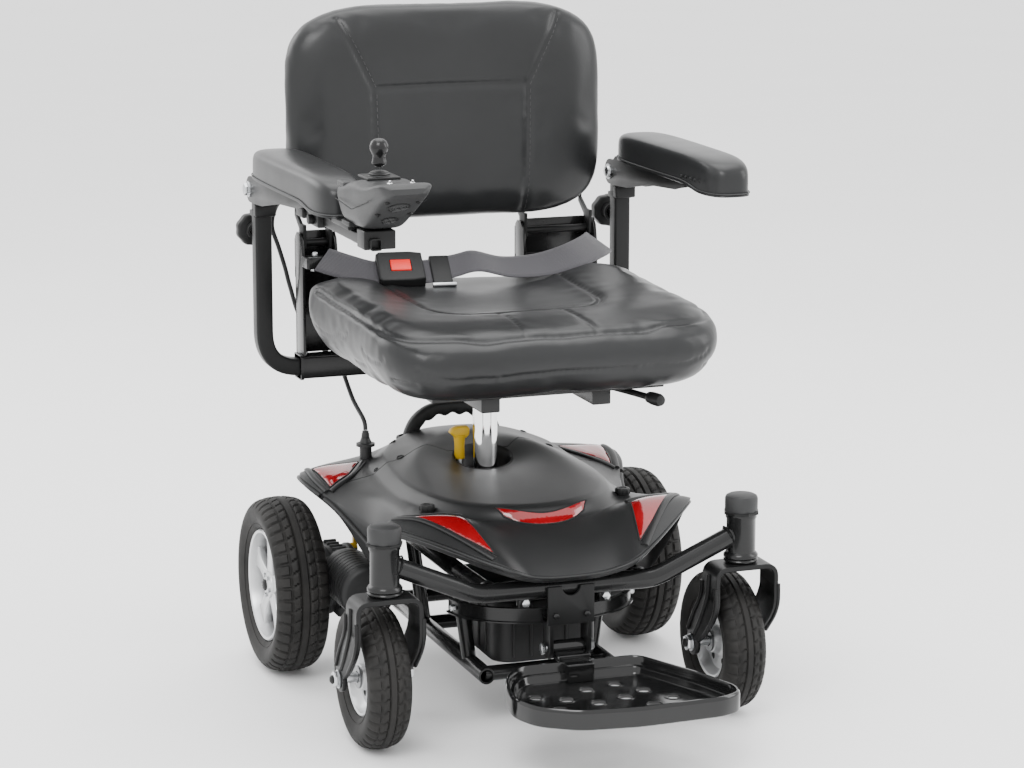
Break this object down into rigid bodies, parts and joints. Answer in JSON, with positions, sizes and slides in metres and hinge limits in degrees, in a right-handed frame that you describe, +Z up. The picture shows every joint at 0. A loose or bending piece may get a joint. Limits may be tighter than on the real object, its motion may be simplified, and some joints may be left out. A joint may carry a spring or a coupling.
{
  "type": "power wheelchair",
  "caption": "Compact power wheelchair with driven rear wheels, swivelling front casters, a shrouded base, a post-mounted seat, flip-up armrests and a joystick controller.",
  "frame": {"origin": "on the floor under the middle of the chair's bounding box", "axes": "+Z up, -Y the way the seated user faces, +X to the user's left"},
  "size_m": [0.57, 0.7896, 0.861],
  "materials": {
    "frame_paint": "glossy black powder coat",
    "dark_plastic": "fine-grained black plastic",
    "shroud_plastic": "matte charcoal moulded plastic",
    "red_lens": "clear red reflector lens",
    "tyre_rubber": "black tyre rubber with a moulded tread",
    "soft_rubber": "soft black rubber",
    "silver_rim": "silver-painted cast wheel",
    "cast_metal": "raw cast housing",
    "yellow_paint": "yellow dipped lever",
    "chrome": "polished chrome",
    "upholstery": "grey-black coated upholstery with sewn seams",
    "webbing": "woven belt webbing",
    "red_plastic": "red moulded plastic"
  },
  "bodies": {
    "base": {"base_frame": "frame_paint", "front_frame": "frame_paint", "battery_box": "dark_plastic", "front_band": "frame_paint", "lift_handle": "dark_plastic", "front_shroud": "shroud_plastic", "rear_shroud": "shroud_plastic", "front_lens_r": "red_lens", "front_lens_l": "red_lens", "rear_lens_r": "red_lens", "rear_lens_l": "red_lens", "centre_lens": "red_lens", "drive_unit_r": "cast_metal", "drive_unit_l": "cast_metal", "caster_cap_r": "dark_plastic", "caster_cap_l": "dark_plastic", "cable_plug": "dark_plastic", "footplate_hanger": "frame_paint", "seat_post": "chrome", "cable_lower": "soft_rubber"},
    "seat": {"seat_frame": "frame_paint", "seat_cushion": "upholstery", "arm_tube_r": "frame_paint", "arm_tube_l": "frame_paint", "lap_belt": "webbing", "buckle": "dark_plastic"},
    "swivel_lever": {"swivel_lever": "dark_plastic"},
    "backrest": {"back_frame": "frame_paint", "back_cushion": "upholstery"},
    "armrest_r": {"arm_bracket_r": "frame_paint", "arm_pad_r": "upholstery", "controller_bar": "frame_paint", "controller_pod": "dark_plastic", "cable_upper": "soft_rubber"},
    "armrest_l": {"arm_bracket_l": "frame_paint", "arm_pad_l": "upholstery"},
    "footplate": {"footplate": "frame_paint"},
    "release_lever": {"release_lever": "yellow_paint"},
    "joystick_boot": {"joystick_boot": "soft_rubber"},
    "joystick_stick": {"joystick_stick": "dark_plastic"},
    "power_button": {"power_button": "dark_plastic"},
    "buckle_button": {"buckle_button": "red_plastic"},
    "drive_wheel_r": {"drive_tyre_r": "tyre_rubber", "drive_rim_r": "silver_rim"},
    "caster_r": {"caster_fork_r": "frame_paint"},
    "caster_wheel_r": {"caster_tyre_r": "tyre_rubber", "caster_rim_r": "silver_rim"},
    "anti_tip_r": {"anti_tip_wheel_r": "tyre_rubber"},
    "shroud_knob_r": {"shroud_knob_r": "dark_plastic"},
    "freewheel_lever_r": {"freewheel_lever_r": "yellow_paint"},
    "arm_knob_r": {"arm_knob_r": "dark_plastic"},
    "drive_wheel_l": {"drive_tyre_l": "tyre_rubber", "drive_rim_l": "silver_rim"},
    "caster_l": {"caster_fork_l": "frame_paint"},
    "caster_wheel_l": {"caster_tyre_l": "tyre_rubber", "caster_rim_l": "silver_rim"},
    "anti_tip_l": {"anti_tip_wheel_l": "tyre_rubber"},
    "shroud_knob_l": {"shroud_knob_l": "dark_plastic"},
    "freewheel_lever_l": {"freewheel_lever_l": "yellow_paint"},
    "arm_knob_l": {"arm_knob_l": "dark_plastic"}
  },
  "joints": [
    {"name": "drive_wheel_spin_r", "type": "hinge", "parent": "base", "child": "drive_wheel_r", "pos_m": [-0.245, 0.22523, 0.1145], "axis": [1, 0, 0], "continuous": true},
    {"name": "caster_swivel_r", "type": "hinge", "parent": "base", "child": "caster_r", "pos_m": [-0.23, -0.17377, 0.2], "axis": [0, 0, 1], "continuous": true},
    {"name": "caster_wheel_spin_r", "type": "hinge", "parent": "caster_r", "child": "caster_wheel_r", "pos_m": [-0.23, -0.12177, 0.089], "axis": [1, 0, 0], "continuous": true},
    {"name": "anti_tip_spin_r", "type": "hinge", "parent": "base", "child": "anti_tip_r", "pos_m": [-0.096, 0.36523, 0.042], "axis": [1, 0, 0], "continuous": true},
    {"name": "shroud_knob_turn_r", "type": "hinge", "parent": "base", "child": "shroud_knob_r", "pos_m": [-0.13, -0.03077, 0.255], "axis": [0, 0, 1], "continuous": true},
    {"name": "freewheel_r", "type": "hinge", "parent": "base", "child": "freewheel_lever_r", "pos_m": [-0.14, 0.23923, 0.15], "axis": [1, 0, 0], "range_deg": [0, 45]},
    {"name": "arm_knob_turn_r", "type": "hinge", "parent": "seat", "child": "arm_knob_r", "pos_m": [-0.25, 0.33323, 0.568], "axis": [0, 1, 0], "continuous": true},
    {"name": "drive_wheel_spin_l", "type": "hinge", "parent": "base", "child": "drive_wheel_l", "pos_m": [0.245, 0.22523, 0.1145], "axis": [1, 0, 0], "continuous": true},
    {"name": "caster_swivel_l", "type": "hinge", "parent": "base", "child": "caster_l", "pos_m": [0.23, -0.17377, 0.2], "axis": [0, 0, 1], "continuous": true},
    {"name": "caster_wheel_spin_l", "type": "hinge", "parent": "caster_l", "child": "caster_wheel_l", "pos_m": [0.23, -0.12177, 0.089], "axis": [1, 0, 0], "continuous": true},
    {"name": "anti_tip_spin_l", "type": "hinge", "parent": "base", "child": "anti_tip_l", "pos_m": [0.096, 0.36523, 0.042], "axis": [1, 0, 0], "continuous": true},
    {"name": "shroud_knob_turn_l", "type": "hinge", "parent": "base", "child": "shroud_knob_l", "pos_m": [0.13, -0.03077, 0.255], "axis": [0, 0, 1], "continuous": true},
    {"name": "freewheel_l", "type": "hinge", "parent": "base", "child": "freewheel_lever_l", "pos_m": [0.14, 0.23923, 0.15], "axis": [1, 0, 0], "range_deg": [0, 45]},
    {"name": "arm_knob_turn_l", "type": "hinge", "parent": "seat", "child": "arm_knob_l", "pos_m": [0.25, 0.33323, 0.568], "axis": [0, 1, 0], "continuous": true},
    {"name": "seat_swivel", "type": "hinge", "parent": "base", "child": "seat", "pos_m": [0, 0.12423, 0.394], "axis": [0, 0, 1], "range_deg": [-45, 45], "deforming": ["cable_lower"]},
    {"name": "swivel_release", "type": "hinge", "parent": "seat", "child": "swivel_lever", "pos_m": [0.1, -0.02477, 0.408], "axis": [0, 0, 1], "range_deg": [0, 18]},
    {"name": "back_fold", "type": "hinge", "parent": "seat", "child": "backrest", "pos_m": [0, 0.29723, 0.552], "axis": [1, 0, 0], "range_deg": [0, 45], "deforming": ["lap_belt"]},
    {"name": "arm_flip_r", "type": "hinge", "parent": "seat", "child": "armrest_r", "pos_m": [-0.25, 0.28623, 0.628], "axis": [-1, 0, 0], "range_deg": [0, 100], "deforming": ["cable_upper"]},
    {"name": "arm_flip_l", "type": "hinge", "parent": "seat", "child": "armrest_l", "pos_m": [0.25, 0.28623, 0.628], "axis": [-1, 0, 0], "range_deg": [0, 100]},
    {"name": "footplate_flip", "type": "hinge", "parent": "base", "child": "footplate", "pos_m": [0, -0.17677, 0.118], "axis": [-1, 0, 0], "range_deg": [0, 70]},
    {"name": "seat_release", "type": "slide", "parent": "base", "child": "release_lever", "axis": [0, 0, 1], "range_m": [0, 0.012]},
    {"name": "joystick_pitch", "type": "hinge", "parent": "armrest_r", "child": "joystick_boot", "pos_m": [-0.238, -0.19077, 0.7], "axis": [1, 0, 0], "range_deg": [-18, 18], "stiffness_Nm_per_rad": 0.08},
    {"name": "joystick_roll", "type": "hinge", "parent": "joystick_boot", "child": "joystick_stick", "pos_m": [-0.238, -0.19077, 0.7], "axis": [0, 1, 0], "range_deg": [-18, 18], "stiffness_Nm_per_rad": 0.08},
    {"name": "power_press", "type": "slide", "parent": "armrest_r", "child": "power_button", "axis": [0, 0, -1], "range_m": [0, 0.0015], "stiffness_N_per_m": 800},
    {"name": "buckle_press", "type": "slide", "parent": "seat", "child": "buckle_button", "axis": [0.0833, 0.516, -0.8525], "range_m": [0, 0.002], "stiffness_N_per_m": 900}
  ]
}
